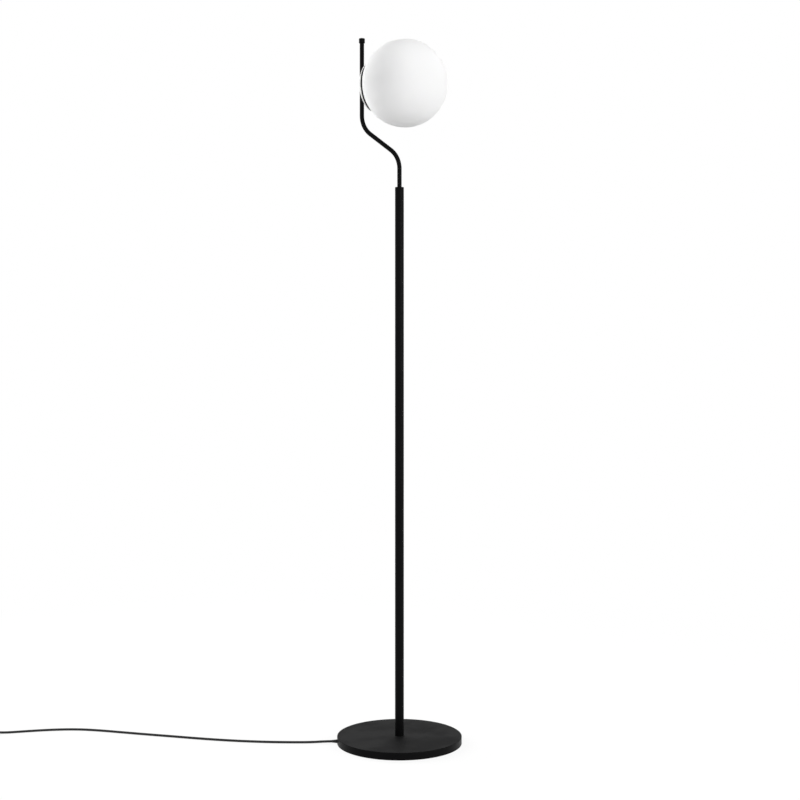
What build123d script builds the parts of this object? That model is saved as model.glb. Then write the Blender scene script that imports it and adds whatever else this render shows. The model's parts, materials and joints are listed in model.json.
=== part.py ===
from build123d import *
import math
import os

# Globe floor lamp, real size in millimetres. The origin is the middle of the base on the floor,
# +Z is up. The S-bend of the arm lies in the XZ plane: the arm's upright end stands on the -X
# side of the post, and the globe reaches back from it along +X until it hangs over the post.

# ---------------------------------------------------------------- driving dimensions
base_diameter = 280.0
base_height = 17.0
base_edge_round = 1.0
cover_sheet = 1.5
skirt_floor_gap = 1.0
weight_side_gap = 2.5
plate_sheet = 1.0
plate_edge_gap = 6.0
pad_thickness = 2.0
pad_edge_inset = 21.0
pad_inner_diameter = 120.0
plate_screw_circle = 100.0

post_diameter = 20.0
post_wall = 1.5

arm_diameter = 10.0
arm_wall = 1.0
arm_offset = 95.4
arm_rise_to_bend = 42.0
bend_radius = 56.0
bend_turn = 52.0
lamp_height = 1596.0
arm_above_post = 347.0
globe_below_top = 114.7
cap_diameter = 13.6
cap_height = 10.4

globe_diameter = 193.0
globe_wall = 3.0
neck_radius = 41.5

holder_beyond_neck = 10.9
holder_sheet = 1.2
holder_depth = 18.3
holder_rim_length = 2.2
holder_seat_radius = 17.0

cord_diameter = 5.4
flex_diameter = 4.6
core_diameter = 1.8
cord_heading = 208.0

# ---------------------------------------------------------------- clearances
running_gap = 0.05
press_gap = 0.05
screw_gap = 0.1
moving_gap = 0.3
stacked_gap = 0.1
groove_width = 1.2
groove_depth = 0.4

# ---------------------------------------------------------------- places worked out from them
base_radius = base_diameter / 2
post_radius = post_diameter / 2
post_bore = post_radius - post_wall
arm_radius = arm_diameter / 2
arm_bore = arm_radius - arm_wall
arm_x = -arm_offset
globe_radius = globe_diameter / 2
globe_bore = globe_radius - globe_wall
head_z = lamp_height - globe_below_top
post_top = lamp_height - arm_above_post
holder_radius = neck_radius + holder_beyond_neck
plate_diameter = base_diameter - 2 * plate_edge_gap
pad_outer_diameter = plate_diameter - 2 * pad_edge_inset
cord_radius = cord_diameter / 2
plate_low = pad_thickness
weight_low = plate_low + plate_sheet
weight_high = base_height - cover_sheet
weight_radius = base_radius - cover_sheet - weight_side_gap


# ---------------------------------------------------------------- helpers
def turned_upright(profile):
    """Solid of revolution about Z from a closed outline of (radius, height) points."""
    outline = Polyline(*[(radius, 0, height) for radius, height in profile], close=True)
    return revolve(make_face(outline), Axis.Z, 360)


def turned_along_head(profile):
    """Solid of revolution about the head's axis from a closed outline of (x, radius) points."""
    outline = Polyline(*[(x, 0, radius) for x, radius in profile], close=True)
    return Pos(0, 0, head_z) * revolve(make_face(outline), Axis.X, 360)


def head_cylinder(radius, start_x, end_x):
    """Cylinder on the head's axis from start_x to end_x."""
    middle = (start_x + end_x) / 2
    return Pos(middle, 0, head_z) * Rot(0, 90, 0) * Cylinder(radius, end_x - start_x)


def upright_cylinder(radius, low, high, x=0.0, y=0.0):
    """Upright cylinder between two heights."""
    return Pos(x, y, (low + high) / 2) * Cylinder(radius, high - low)


def upright_ring(inner, outer, low, high):
    """Upright tube between two heights."""
    return upright_cylinder(outer, low, high) - upright_cylinder(inner, low - 1, high + 1)


def block(x_low, x_high, y_low, y_high, z_low, z_high):
    """Box between two corners."""
    size = Box(x_high - x_low, y_high - y_low, z_high - z_low)
    return Pos((x_low + x_high) / 2, (y_low + y_high) / 2, (z_low + z_high) / 2) * size


def hexagon(across_flats, thickness):
    """Six-sided nut blank, centred on its own axis Z."""
    return extrude(RegularPolygon(across_flats / 2, 6, major_radius=False), thickness / 2, both=True)


def chord(radius, distance):
    """Radius of the circle that a plane at this distance cuts from a sphere."""
    return math.sqrt(radius * radius - distance * distance)


def tube_along(path, radius):
    """Round solid of one radius swept along a path."""
    start = Plane(origin=path @ 0, z_dir=path % 0)
    return sweep(start * Circle(radius), path)


def corner_radii(points):
    """Radius of the arc at each inner point: as large as its two runs allow."""
    radii = []
    for before, here, after in zip(points, points[1:], points[2:]):
        arriving = Vector(*here) - Vector(*before)
        leaving = Vector(*after) - Vector(*here)
        half_turn = math.radians(arriving.get_angle(leaving)) / 2
        shorter = min(arriving.length, leaving.length)
        radii.append(0.45 * shorter / math.tan(half_turn))
    return radii


def laid_tube(name, points, radius):
    """Tube on straight runs joined by tangent arcs, with its radii and volume check printed."""
    radii = corner_radii(points)
    path = FilletPolyline(*points, radius=radii)
    solid = tube_along(path, radius)
    expected = math.pi * radius ** 2 * path.length
    print(name, "length", round(path.length, 1), "radii", [round(value) for value in radii],
          "volume over section x length", round(solid.volume / expected, 4))
    return solid


def turned_about_x(profile):
    """Solid of revolution about the X axis from a closed outline of (x, radius) points."""
    outline = Polyline(*[(x, 0, radius) for x, radius in profile], close=True)
    return revolve(make_face(outline), Axis.X, 360)


def ribbed_taper(start, end, count):
    """Outline of a taper between two (x, radius) points, with grooves cut square into it."""
    points = [start]
    length = end[0] - start[0]
    slope = (end[1] - start[1]) / length
    for index in range(count):
        near = start[0] + length * (index + 0.5) / count - groove_width / 2
        far = near + groove_width
        for x, depth in ((near, 0), (near, groove_depth), (far, groove_depth), (far, 0)):
            points.append((x, start[1] + slope * (x - start[0]) - depth))
    return points + [end]


def cross_recess(width, length, depth, low):
    """Driver recess of a screw head that faces down, cut from its lowest height."""
    arm = block(-length / 2, length / 2, -width / 2, width / 2, low - 1, low + depth)
    return arm + Rot(0, 0, 90) * arm


def on_cord_heading(shape):
    """Turn a shape drawn with the cord leaving along +X to the heading of the cord's outlet."""
    return Rot(0, 0, cord_heading) * shape


made = {}


def keep(name, *solids):
    """Give a sub-part its node name. Several solids are a group of separate solids."""
    made[name] = solids[0] if len(solids) == 1 else Compound(children=list(solids))


# ---------------------------------------------------------------- base
nipple_radius = 4.9
nipple_bore = 3.5
nipple_below_nut = 0.2
nipple_in_post = 23.0
nut_flats = 14.0
nut_height = 4.0
nut_above_plate = 2.5
washer_height = 1.0
washer_radius = 11.0
nut_well_radius = 16.0
cover_hole = nipple_radius + screw_gap
nut_low = weight_low + nut_above_plate
nipple_low = nut_low - nipple_below_nut
nipple_high = base_height + nipple_in_post
centre_web = weight_high - nut_low - nut_height - washer_height

clamp_from_skirt = 48.0
clamp_along = base_radius - clamp_from_skirt

pocket_before_clamp = 12.0
pocket_length = 46.0
pocket_far = clamp_along - pocket_before_clamp
pocket_near = pocket_far - pocket_length
pocket_width = 44.0
pocket_roof = 1.5
channel_width = 10.0
channel_headroom = 0.4

relief_beyond_skirt = 12.0
relief_rubber_at_tip = 0.3
relief_rubber_at_skirt = 1.3
relief_rubber_at_flange = 1.6
relief_above_floor = 0.4
relief_flange_length = 2.5
relief_notch_width = 12.0
relief_notch_length = 32.0
relief_tip_radius = cord_radius + relief_rubber_at_tip
relief_radius = cord_radius + relief_rubber_at_skirt
relief_flange = cord_radius + relief_rubber_at_flange
relief_height = relief_radius + relief_above_floor
relief_inner = base_radius - relief_beyond_skirt
relief_outer = base_radius + relief_beyond_skirt
relief_notch_start = base_radius - relief_notch_length

clamp_length = 28.0
clamp_width = 8.0
clamp_thickness = 1.8
clamp_low = weight_low + 0.3
clamp_screw_spread = 20.0
clamp_screw_radius = 1.5
clamp_screw_length = 6.5

block_before_clamp = 20.0
block_length = 24.0
block_far = clamp_along - block_before_clamp
block_near = block_far - block_length
block_width = 17.0
block_low = weight_low + 0.3
block_high = weight_high - pocket_roof - 0.1
lead_height = clamp_low + clamp_thickness + cord_radius
channel_roof = lead_height + cord_radius + channel_headroom
core_spacing = 1.1
core_height = 4.3
core_bend = 3.0
sheath_low = 12.0


def make_base_cover():
    """Spun cover: flat top and straight skirt, with a hole for the tie and a slot for the relief."""
    shell = turned_upright([
        (cover_hole, base_height), (base_radius, base_height), (base_radius, skirt_floor_gap),
        (base_radius - cover_sheet, skirt_floor_gap), (base_radius - cover_sheet, weight_high),
        (cover_hole, weight_high)])
    rims = shell.edges().filter_by(GeomType.CIRCLE)
    top_rim = [edge for edge in rims
               if edge.radius > base_radius - 0.1 and edge.arc_center.Z > base_height - 0.1]
    shell = fillet(top_rim, base_edge_round)
    hole = Pos(base_radius, 0, relief_height) * Rot(0, 90, 0) * Cylinder(relief_radius - 0.6, 20)
    slot = block(base_radius - 10, base_radius + 10, 0.6 - relief_radius, relief_radius - 0.6,
                 0, relief_height)
    return shell - on_cord_heading(hole) - on_cord_heading(slot)


def make_base_weight():
    """Cast iron disc with nut well, junction pocket, cord channel and screw holes."""
    disc = upright_cylinder(weight_radius, weight_low, weight_high)
    disc -= upright_cylinder(nipple_radius + 0.4, 0, base_height)
    disc -= upright_cylinder(nut_well_radius, 0, weight_high - centre_web)
    pocket = block(pocket_near, pocket_far, -pocket_width / 2, pocket_width / 2,
                   0, weight_high - pocket_roof)
    groove = block(0, pocket_near + 1, -core_spacing - 2, core_spacing + 2, 0, core_height + 2.5)
    channel = block(pocket_far - 1, base_radius, -channel_width / 2, channel_width / 2,
                    0, channel_roof)
    clamp_seat = block(clamp_along - clamp_width / 2 - 0.5, clamp_along + clamp_width / 2 + 0.5,
                       -clamp_length / 2 - 0.5, clamp_length / 2 + 0.5,
                       0, clamp_low + clamp_thickness)
    for cutter in (pocket, groove, channel, clamp_seat):
        disc -= on_cord_heading(cutter)
    for side in (-1, 1):
        hole = upright_cylinder(clamp_screw_radius + screw_gap, 0, clamp_low + clamp_screw_length + 1,
                                clamp_along, side * clamp_screw_spread / 2)
        disc -= on_cord_heading(hole)
    for hole in plate_screw_places():
        disc -= hole * upright_cylinder(plate_screw_radius + screw_gap, 0,
                                        weight_low + plate_screw_length)
    return disc


plate_screw_radius = 2.0
plate_screw_length = 8.0
plate_screw_head = 3.6
plate_head_height = 1.6


def plate_screw_places():
    """The four places of the base plate's screws, between the pocket and the pad."""
    return [Rot(0, 0, cord_heading + 45 + 90 * turn) * Pos(plate_screw_circle / 2, 0, 0)
            for turn in range(4)]


def make_base_plate():
    """Closing plate with its screw holes and a notch under the strain relief."""
    plate = upright_cylinder(plate_diameter / 2, plate_low, weight_low)
    for place in plate_screw_places():
        plate -= place * upright_cylinder(plate_screw_radius + screw_gap, 0, weight_low + 1)
    notch = block(relief_notch_start, base_radius, -relief_notch_width / 2,
                  relief_notch_width / 2, 0, weight_low + 1)
    return plate - on_cord_heading(notch)


def make_plate_screw():
    """Pan head screw, head below the plate."""
    shank = upright_cylinder(plate_screw_radius, plate_low - 0.01, weight_low + plate_screw_length - 1)
    head_low = plate_low - plate_head_height
    head = upright_cylinder(plate_screw_head, head_low, plate_low)
    return shank + head - cross_recess(0.9, 4.4, 1.1, head_low)


def make_cord_relief():
    """Rubber relief clipped in the skirt, tapering to the cord outside."""
    skirt_in = base_radius - cover_sheet
    profile = [
        (relief_inner, 0), (relief_inner, relief_tip_radius + 0.4),
        (skirt_in - relief_flange_length, relief_flange), (skirt_in - 0.1, relief_flange),
        (skirt_in - 0.1, relief_radius - 0.7), (base_radius + 0.1, relief_radius - 0.7),
        (base_radius + 0.1, relief_radius)]
    profile += ribbed_taper((base_radius + 2, relief_radius), (relief_outer, relief_tip_radius), 4)
    profile.append((relief_outer, 0))
    return on_cord_heading(Pos(0, 0, relief_height) * turned_about_x(profile))


def make_cord_clamp():
    """Flat bar that presses the cord into its channel."""
    bar = block(clamp_along - clamp_width / 2, clamp_along + clamp_width / 2,
                -clamp_length / 2, clamp_length / 2, clamp_low, clamp_low + clamp_thickness)
    for side in (-1, 1):
        bar -= upright_cylinder(clamp_screw_radius + screw_gap, 0, 20,
                                clamp_along, side * clamp_screw_spread / 2)
    return on_cord_heading(bar)


def make_clamp_screw(side):
    """Screw of the cord clamp, its low head just under the bar."""
    x, y = clamp_along, side * clamp_screw_spread / 2
    shank = upright_cylinder(clamp_screw_radius, clamp_low - 0.1, clamp_low + clamp_screw_length, x, y)
    head = upright_cylinder(2.6, clamp_low - 0.25, clamp_low, x, y)
    return on_cord_heading(shank + head)


terminal_screw_radius = 1.5
terminal_row_along = (block_near + 6.0, block_far - 6.0)
terminal_row_aside = (-4.0, 4.0)


def make_terminal_block():
    """Two-way junction block, its screw wells open downwards."""
    body = block(block_near, block_far, -block_width / 2, block_width / 2, block_low, block_high)
    body = fillet(body.edges().filter_by(Axis.Z), 1.0)
    for along in terminal_row_along:
        for aside in terminal_row_aside:
            body -= upright_cylinder(terminal_screw_radius + screw_gap, 0, block_low + 6, along, aside)
    return on_cord_heading(body)


def make_terminal_screws():
    """Four brass screws, set back in their wells."""
    return [on_cord_heading(upright_cylinder(terminal_screw_radius, block_low + 1, block_low + 5.9,
                                             along, aside))
            for along in terminal_row_along for aside in terminal_row_aside]


def make_base_lead():
    """Cord inside the base: from the relief over the clamp to the junction block."""
    points = [(relief_inner, 0, relief_height), (relief_inner - 9, 0, relief_height),
              (clamp_along + 11, 0.1, lead_height), (clamp_along - 8, 0.3, lead_height),
              (block_far, 0.3, lead_height)]
    return on_cord_heading(laid_tube("base_lead", points, cord_radius))


def make_base_core(side):
    """One core from the junction block along its groove and up the tie."""
    aside = side * core_spacing
    points = [(block_near, aside, core_height), (0, aside, core_height), (0, aside, sheath_low)]
    path = FilletPolyline(*points, radius=core_bend)
    return on_cord_heading(tube_along(path, core_diameter / 2))


keep("base_cover", make_base_cover())
keep("base_weight", make_base_weight())
keep("base_plate", make_base_plate())
keep("base_plate_screws", *[place * make_plate_screw() for place in plate_screw_places()])
keep("base_pad", upright_ring(pad_inner_diameter / 2, pad_outer_diameter / 2, 0, pad_thickness))
keep("tie_nipple", upright_ring(nipple_bore, nipple_radius, nipple_low, nipple_high))
keep("nipple_washer", upright_ring(nipple_radius + screw_gap, washer_radius,
                                   nut_low + nut_height, nut_low + nut_height + washer_height))
keep("nipple_nut", Pos(0, 0, nut_low + nut_height / 2) * (
    hexagon(nut_flats, nut_height) - Cylinder(nipple_radius + running_gap, nut_height + 1)))
keep("cord_relief", make_cord_relief())
keep("cord_clamp", make_cord_clamp())
keep("clamp_screws", make_clamp_screw(-1), make_clamp_screw(1))
keep("terminal_block", make_terminal_block())
keep("terminal_screws", *make_terminal_screws())
keep("base_lead", make_base_lead())
keep("base_cores", make_base_core(-1), make_base_core(1))

# ---------------------------------------------------------------- post
foot_length = 25.0
bush_length = 30.0
collar_height = 9.0
arm_tail_below_bush = 4.0

top_bush_low = post_top - bush_length
arm_collar_high = top_bush_low - moving_gap
arm_collar_low = arm_collar_high - collar_height
lower_bush_high = arm_collar_low - stacked_gap
lower_bush_low = lower_bush_high - bush_length
arm_low = lower_bush_low - arm_tail_below_bush
flex_split = arm_low - 3.0

bush_outer = post_bore - press_gap
bush_bore = arm_radius + running_gap

keep("post_tube", upright_ring(post_bore, post_radius, base_height, post_top))
keep("post_foot", upright_ring(nipple_radius + running_gap, bush_outer,
                               base_height, base_height + foot_length))
keep("top_bush", upright_ring(bush_bore, bush_outer, top_bush_low, post_top))
keep("lower_bush", upright_ring(bush_bore, bush_outer, lower_bush_low, lower_bush_high))
keep("post_flex", upright_cylinder(flex_diameter / 2, sheath_low, flex_split - stacked_gap))

# ---------------------------------------------------------------- arm
cap_roof = 4.0
cap_chamfer = 1.0
cap_round = 0.8
arm_high = lamp_height - cap_roof
side_hole_radius = 3.5
collar_screw_radius = 1.9

first_corner = post_top + arm_rise_to_bend + bend_radius * math.tan(math.radians(bend_turn / 2))
second_corner = first_corner + arm_offset / math.tan(math.radians(bend_turn))


def arm_path(low, high):
    """Centre line of the arm: up, across by the S-bend, and up again."""
    points = [(0, 0, low), (0, 0, first_corner), (arm_x, 0, second_corner), (arm_x, 0, high)]
    return FilletPolyline(*points, radius=bend_radius)


def make_arm_tube():
    """S-bent tube with the side hole that the cores leave by."""
    outside = tube_along(arm_path(arm_low, arm_high), arm_radius)
    inside = tube_along(arm_path(arm_low - 1, arm_high + 1), arm_bore)
    return outside - inside - head_cylinder(side_hole_radius, arm_x, arm_x + arm_diameter)


def make_end_cap():
    """Turned cap over the end of the tube, rounded above and chamfered below."""
    outer = cap_diameter / 2
    low = lamp_height - cap_height
    skirt_bore = arm_radius + press_gap
    cap = turned_upright([(0, lamp_height), (outer, lamp_height), (outer, low + cap_chamfer),
                          (outer - cap_chamfer, low), (skirt_bore, low), (skirt_bore, arm_high),
                          (0, arm_high)])
    rims = [edge for edge in cap.edges().filter_by(GeomType.CIRCLE)
            if edge.arc_center.Z > lamp_height - 0.1]
    return Pos(arm_x, 0, 0) * fillet(rims, cap_round)


def make_arm_collar():
    """Ring clamped on the arm between the two bushes, with its screw hole."""
    ring = upright_ring(arm_radius + press_gap, post_bore - moving_gap, arm_collar_low, arm_collar_high)
    hole = Rot(0, 90, 0) * Cylinder(collar_screw_radius + screw_gap, post_radius)
    return ring - Pos(post_radius / 2, 0, (arm_collar_low + arm_collar_high) / 2) * hole


def make_collar_screw():
    """Grub screw between the arm and the rim of its collar."""
    start = arm_radius + 0.1
    end = post_bore - moving_gap - 0.2
    screw = Rot(0, 90, 0) * Cylinder(collar_screw_radius, end - start)
    return Pos((start + end) / 2, 0, (arm_collar_low + arm_collar_high) / 2) * screw


core_turn_radius = 6.0
sheath_high = head_z - core_turn_radius - 6.0

keep("arm_tube", make_arm_tube())
keep("end_cap", make_end_cap())
keep("arm_collar", make_arm_collar())
keep("collar_screw", make_collar_screw())
keep("arm_flex", tube_along(arm_path(flex_split, sheath_high), flex_diameter / 2))

# ---------------------------------------------------------------- head: stud, dish and spigot
stud_shoulder = 1.0
shoulder_radius = 6.0
stud_radius = 4.9
stud_bore = 3.4
head_washer_radius = 9.0
head_washer_height = 1.0
head_nut_height = 3.0
dish_clearance = 0.5
collar_bore_gap = 0.5
collar_wall = 1.8
spigot_reach = 13.5
sleeve_reach = 11.5
sleeve_back = 4.2
web_thickness = 1.5
web_inset = 1.3
seal_thickness = 0.8
flange_length = 2.3
flange_proud = 0.2
seat_gap = 0.3

holder_flat = arm_x + arm_radius + stud_shoulder
holder_front = holder_flat + holder_depth
dome_edge = holder_front - holder_rim_length
dome_depth = holder_depth - holder_rim_length
dome_reach = (holder_radius ** 2 + dome_depth ** 2 - holder_seat_radius ** 2) / (2 * dome_depth)
dome_radius = math.hypot(dome_reach, holder_seat_radius)
dome_centre = holder_flat + dome_reach
spigot_back = holder_flat + holder_sheet
spigot_inner = spigot_back + holder_sheet
web_back = holder_front - web_inset
web_front = web_back + web_thickness
lip_x = web_front + seal_thickness
neck_distance = chord(globe_bore, neck_radius)
globe_x = lip_x + neck_distance
sleeve_outer = neck_radius - collar_bore_gap
sleeve_bore = sleeve_outer - collar_wall
spigot_outer = sleeve_bore - moving_gap
spigot_bore = spigot_outer - holder_sheet
spigot_front = holder_front + spigot_reach
lip_outer = chord(globe_radius, neck_distance)
seat_radius = globe_radius + seat_gap


def dome_point(radius, x=None, out=None):
    """Point (x, 0, out) on a sphere about the dish's centre, from its x or its distance out."""
    if x is None:
        return (dome_centre - chord(radius, out), 0, out)
    return (x, 0, chord(radius, dome_centre - x))


def dome_arc(radius, start, end):
    """Arc of the dish's section between two points of one sphere."""
    middle_out = (start[2] + end[2]) / 2
    return ThreePointArc(start, dome_point(radius, out=middle_out), end)


def revolved_section(edges):
    """Solid of revolution about the head's axis from a closed run of lines and arcs."""
    return Pos(0, 0, head_z) * revolve(make_face(Curve() + edges), Axis.X, 360)


def make_globe_holder():
    """Domed dish behind the globe: flat seat on the stud, dome, short straight rim."""
    hole = stud_radius + screw_gap
    inner = dome_radius - holder_sheet
    rim_bore = holder_radius - holder_sheet
    a = (holder_flat, 0, hole)
    b = dome_point(dome_radius, x=holder_flat)
    c = (dome_edge, 0, holder_radius)
    d = (holder_front, 0, holder_radius)
    e = (holder_front, 0, rim_bore)
    f = dome_point(inner, out=rim_bore)
    g = dome_point(inner, x=spigot_back)
    h = (spigot_back, 0, hole)
    edges = [Line(a, b), dome_arc(dome_radius, b, c), Line(c, d), Line(d, e), Line(e, f),
             dome_arc(inner, f, g), Line(g, h), Line(h, a)]
    return revolved_section(edges)


clip_width = 8.0
clip_sheet = 0.5
clip_root_back = spigot_front - 9.0
clip_crest = spigot_front - 15.0
clip_tail = spigot_front - 18.6
clip_root_front = spigot_front - 1.5
rivet_x = spigot_front - 5.0
rivet_radius = 1.2
rivet_head_radius = 2.0
rivet_head_height = 0.8
clip_seat = chord(spigot_bore, clip_width / 2) - 0.05
clip_crest_out = chord(sleeve_bore - 0.15, clip_width / 2)
clip_turns = (90, 210, 330)


def on_head_angle(turn, shape):
    """Turn a shape drawn above the head's axis, at height zero, about that axis."""
    return Pos(0, 0, head_z) * Rot(turn - 90, 0, 0) * shape


def make_holder_spigot():
    """Drawn cup inside the dish, with windows for the clips and holes for their rivets."""
    hole = stud_radius + screw_gap
    back = dome_radius - holder_sheet - dish_clearance
    front = back - holder_sheet
    a = (spigot_back, 0, hole)
    b = dome_point(back, x=spigot_back)
    c = dome_point(back, out=spigot_outer)
    d = (spigot_front, 0, spigot_outer)
    e = (spigot_front, 0, spigot_bore)
    f = dome_point(front, out=spigot_bore)
    g = dome_point(front, x=spigot_inner)
    h = (spigot_inner, 0, hole)
    edges = [Line(a, b), dome_arc(back, b, c), Line(c, d), Line(d, e), Line(e, f),
             dome_arc(front, f, g), Line(g, h), Line(h, a)]
    cup = revolved_section(edges)
    window = block(clip_tail - 0.5, clip_root_back + 0.5, -clip_width / 2 - 0.5,
                   clip_width / 2 + 0.5, spigot_bore - 2, spigot_outer + 2)
    rivet_hole = upright_cylinder(rivet_radius + running_gap, spigot_bore - 2, spigot_outer + 2, rivet_x)
    for turn in clip_turns:
        cup -= on_head_angle(turn, window + rivet_hole)
    return cup


def make_spring_clip():
    """Bowed leaf: riveted root inside the cup, crest standing out through its window."""
    top = [(clip_root_front, clip_seat), (clip_root_back, clip_seat), (clip_crest, clip_crest_out),
           (clip_tail, clip_seat + 0.2)]
    under = [(x, out - clip_sheet) for x, out in reversed(top)]
    outline = Polyline(*[(x, 0, out) for x, out in top + under], close=True)
    leaf = extrude(make_face(outline), clip_width / 2, both=True)
    return leaf - upright_cylinder(rivet_radius + running_gap, 0, spigot_outer + 2, rivet_x)


def make_clip_rivet():
    """Rivet through leaf and cup, its head inside."""
    shank = upright_cylinder(rivet_radius, clip_seat - clip_sheet, spigot_outer - 0.1, rivet_x)
    head = upright_cylinder(rivet_head_radius, clip_seat - clip_sheet - rivet_head_height,
                            clip_seat - clip_sheet, rivet_x)
    return shank + head


head_washer_back = spigot_inner
head_nut_back = head_washer_back + head_washer_height
stack_front = head_nut_back + head_nut_height
lampholder_back = stack_front + 0.3
stud_end = lampholder_back + 7.0


def make_head_stud():
    """Hollow stud: saddle shoulder brazed to the arm, plain length for the nut and the lampholder."""
    shoulder = head_cylinder(shoulder_radius, arm_x + 3.0, holder_flat)
    shank = head_cylinder(stud_radius, holder_flat - 0.5, stud_end)
    stud = shoulder + shank - head_cylinder(stud_bore, arm_x, stud_end + 1)
    return stud - upright_cylinder(arm_radius, head_z - 20, head_z + 20, arm_x)


def make_head_nut():
    """Thin nut behind the lampholder."""
    blank = hexagon(nut_flats, head_nut_height)
    blank -= Cylinder(stud_radius + running_gap, head_nut_height + 1)
    return Pos(head_nut_back + head_nut_height / 2, 0, head_z) * Rot(0, 90, 0) * blank


keep("head_stud", make_head_stud())
keep("globe_holder", make_globe_holder())
keep("holder_spigot", make_holder_spigot())
keep("spring_clips", *[on_head_angle(turn, make_spring_clip()) for turn in clip_turns])
keep("clip_rivets", *[on_head_angle(turn, make_clip_rivet()) for turn in clip_turns])
keep("head_washer", head_cylinder(head_washer_radius, head_washer_back, head_nut_back)
     - head_cylinder(stud_radius + screw_gap, head_washer_back - 1, head_nut_back + 1))
keep("head_nut", make_head_nut())

# ---------------------------------------------------------------- lampholder
holder_cap_length = 24.0
holder_body_length = 34.0
lampholder_radius = 20.0
lampholder_wall = 2.0
core_disc_length = 8.0
screw_shell_bore = 13.45
screw_shell_wall = 0.5
contact_radius = 4.0
contact_height = 2.5

cap_front = lampholder_back + holder_cap_length
body_front = cap_front + holder_body_length
core_back = cap_front - 2.0
core_front = core_back + core_disc_length
contact_front = core_front + contact_height
shell_front = body_front - 3.0


def make_lampholder_cap():
    """Rear half of the lampholder: threaded entry and rounded shoulder."""
    outer = lampholder_radius - 0.8
    entry = stud_radius + running_gap
    wall = lampholder_wall
    return turned_along_head([
        (lampholder_back, entry), (lampholder_back, 8.5), (lampholder_back + 3, 12.5),
        (lampholder_back + 7, outer - 1.5), (lampholder_back + 10, outer), (cap_front, outer),
        (cap_front, outer - wall), (lampholder_back + 10.5, outer - wall),
        (lampholder_back + 8, outer - wall - 1.5), (stud_end, 8.5), (stud_end, entry)])


def make_lampholder_body():
    """Front half of the lampholder: sleeve around the screw shell, with its rear lip."""
    outer = lampholder_radius
    bore = screw_shell_bore + screw_shell_wall + press_gap
    return turned_along_head([
        (cap_front, outer - 4.0), (cap_front, outer), (body_front - 1.5, outer),
        (body_front, outer - 1.5), (body_front, screw_shell_bore), (shell_front, screw_shell_bore),
        (shell_front, bore), (core_front, bore), (core_front, outer - 4.0)])


def make_lampholder_core():
    """Insulating disc that carries the contacts."""
    disc = head_cylinder(lampholder_radius - 4.2, core_back, core_front)
    for side in (-1, 1):
        hole = Pos(0, side * core_spacing, 0) * head_cylinder(core_diameter / 2 + screw_gap,
                                                              core_back - 1, core_back + 3)
        disc -= hole
    return disc


def make_head_core(side):
    """One core from the inner flex round into the stud and on to the lampholder."""
    y = side * core_spacing
    points = [(arm_x, y, sheath_high), (arm_x, y, head_z), (core_back, y, head_z)]
    path = FilletPolyline(*points, radius=core_turn_radius)
    return tube_along(path, core_diameter / 2)


keep("lampholder_cap", make_lampholder_cap())
keep("lampholder_body", make_lampholder_body())
keep("lampholder_core", make_lampholder_core())
keep("screw_shell", head_cylinder(screw_shell_bore + screw_shell_wall, core_front, shell_front)
     - head_cylinder(screw_shell_bore, core_front - 1, shell_front + 1))
keep("centre_contact", head_cylinder(contact_radius, core_front, contact_front))
keep("head_cores", make_head_core(-1), make_head_core(1))

# ---------------------------------------------------------------- globe
globe_centre = Pos(globe_x, 0, head_z)


def make_globe_glass():
    """Hollow glass globe, cut square at its neck."""
    shell = globe_centre * (Sphere(globe_radius) - Sphere(globe_bore))
    beyond = head_cylinder(globe_radius, globe_x - globe_radius - 1, lip_x)
    return shell - beyond


def make_globe_collar():
    """Ring bonded to the neck: sleeve that slides over the spigot, web, and the rim that shows."""
    sleeve = turned_along_head([
        (web_back - sleeve_back, sleeve_bore), (web_back - sleeve_back, sleeve_outer),
        (lip_x + sleeve_reach - seal_thickness, sleeve_outer),
        (lip_x + sleeve_reach - seal_thickness, sleeve_bore)])
    web = turned_along_head([
        (web_back, sleeve_bore), (web_back, holder_radius - holder_sheet - 0.6),
        (web_front, holder_radius - holder_sheet - 0.6), (web_front, sleeve_bore)])
    inner = chord(seat_radius, neck_distance)
    flange_back = holder_front + moving_gap
    rim = turned_along_head([
        (web_front, inner), (web_front, holder_radius - holder_sheet - 0.6),
        (flange_back, holder_radius - holder_sheet - 0.6), (flange_back, holder_radius + flange_proud),
        (flange_back + flange_length, holder_radius + flange_proud),
        (flange_back + flange_length, inner)])
    return sleeve + web + (rim - globe_centre * Sphere(seat_radius))


keep("globe_glass", make_globe_glass())
keep("globe_collar", make_globe_collar())
keep("globe_seal", head_cylinder(lip_outer, web_front, lip_x)
     - head_cylinder(neck_radius, web_front - 1, lip_x + 1))

# ---------------------------------------------------------------- bulb
bulb_shell_radius = 13.1
bulb_shell_wall = 0.6
bulb_shell_length = 22.0
bulb_tip_length = 4.0
bulb_tip_radius = 4.5
bulb_neck_radius = 14.5
bulb_radius = 30.0
bulb_length = 106.0
bulb_wall = 1.2

bulb_tip_back = contact_front + moving_gap
shell_back = bulb_tip_back + bulb_tip_length
bulb_shell_front = shell_back + bulb_shell_length
bulb_end = bulb_tip_back + bulb_length
bulb_dome_x = bulb_end - bulb_radius


def make_bulb_tip():
    """Insulating cone and contact button of the bulb's cap."""
    return turned_along_head([
        (bulb_tip_back, 0), (bulb_tip_back, bulb_tip_radius - 0.7),
        (bulb_tip_back + 0.7, bulb_tip_radius), (bulb_tip_back + 1.5, bulb_tip_radius),
        (shell_back, bulb_shell_radius - 2.5), (shell_back, 0)])


def make_bulb_shell():
    """Screw cap of the bulb: rounded rear edge, closed behind."""
    wall = bulb_shell_wall
    return turned_along_head([
        (shell_back, 0), (shell_back, bulb_shell_radius - 1), (shell_back + 1, bulb_shell_radius),
        (bulb_shell_front, bulb_shell_radius), (bulb_shell_front, bulb_shell_radius - wall),
        (shell_back + wall, bulb_shell_radius - wall), (shell_back + wall, 0)])


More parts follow.
